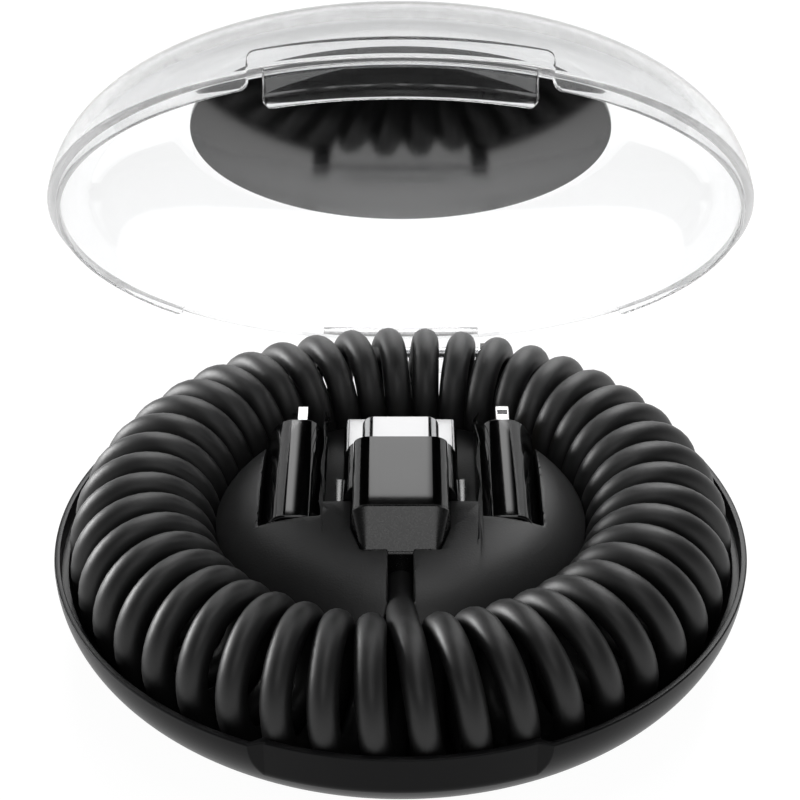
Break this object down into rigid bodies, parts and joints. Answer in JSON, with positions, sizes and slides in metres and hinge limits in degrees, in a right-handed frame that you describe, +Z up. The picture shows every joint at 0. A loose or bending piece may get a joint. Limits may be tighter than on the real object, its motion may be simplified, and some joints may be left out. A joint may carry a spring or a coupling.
{
  "type": "multi-connector charging cable in a round case",
  "caption": "Round shell case with a hinged clear lid, holding a coiled black charging cable around a cradle with a stacked double plug and plug-on adapters.",
  "frame": {"origin": "middle of the base's flat foot, on the surface that the case stands on", "axes": "+Z up, -Y towards the latch, +Y towards the hinge, +X to the right seen from the latch"},
  "size_m": [0.0738, 0.0776, 0.0708],
  "materials": {
    "base_plastic": "satin moulded",
    "cradle_plastic": "fine-grained matte",
    "relief_rubber": "fine-grained matte",
    "gloss_housing": "polished",
    "plug_metal": "bright nickel plate",
    "steel_pin": "drawn steel",
    "dark_insulator": "moulded",
    "pale_insulator": "moulded",
    "gold_contact": "gold plate",
    "circuit_board": "solder mask",
    "cable_rubber": "matte soft-touch jacket",
    "clear_lid": "clear polished",
    "gloss_disc": "high gloss"
  },
  "bodies": {
    "case": {"base_shell": "base_plastic", "hinge_pin": "steel_pin", "cable_cradle": "cradle_plastic", "upper_plug_shell": "plug_metal", "upper_plug_insulator": "dark_insulator", "upper_plug_contacts": "gold_contact", "upper_plug_board": "circuit_board", "upper_plug_housing": "gloss_housing", "upper_plug_relief": "relief_rubber", "lower_plug_shell": "plug_metal", "lower_plug_insulator": "pale_insulator", "lower_plug_contacts": "gold_contact", "lower_plug_housing": "gloss_housing", "lower_plug_relief": "relief_rubber", "left_adapter_housing": "gloss_housing", "left_adapter_shell": "plug_metal", "left_adapter_insulator": "dark_insulator", "left_adapter_contacts": "gold_contact", "left_adapter_latches": "steel_pin", "left_adapter_board": "circuit_board", "left_adapter_socket": "steel_pin", "left_adapter_tongue": "dark_insulator", "right_adapter_housing": "gloss_housing", "right_adapter_blade": "plug_metal", "right_adapter_contacts": "gold_contact", "right_adapter_board": "circuit_board", "right_adapter_socket": "steel_pin", "right_adapter_tongue": "dark_insulator", "cable_coil": "cable_rubber", "cable_lead_start": "cable_rubber", "cable_lead_end": "cable_rubber"},
    "lid": {"lid_dome": "clear_lid", "lid_disc": "gloss_disc"}
  },
  "joints": [
    {"name": "lid_hinge", "type": "hinge", "parent": "case", "child": "lid", "pos_m": [0, 0.0382, 0.0094], "axis": [-1, 0, 0], "range_deg": [-51.41, 48.59]}
  ]
}
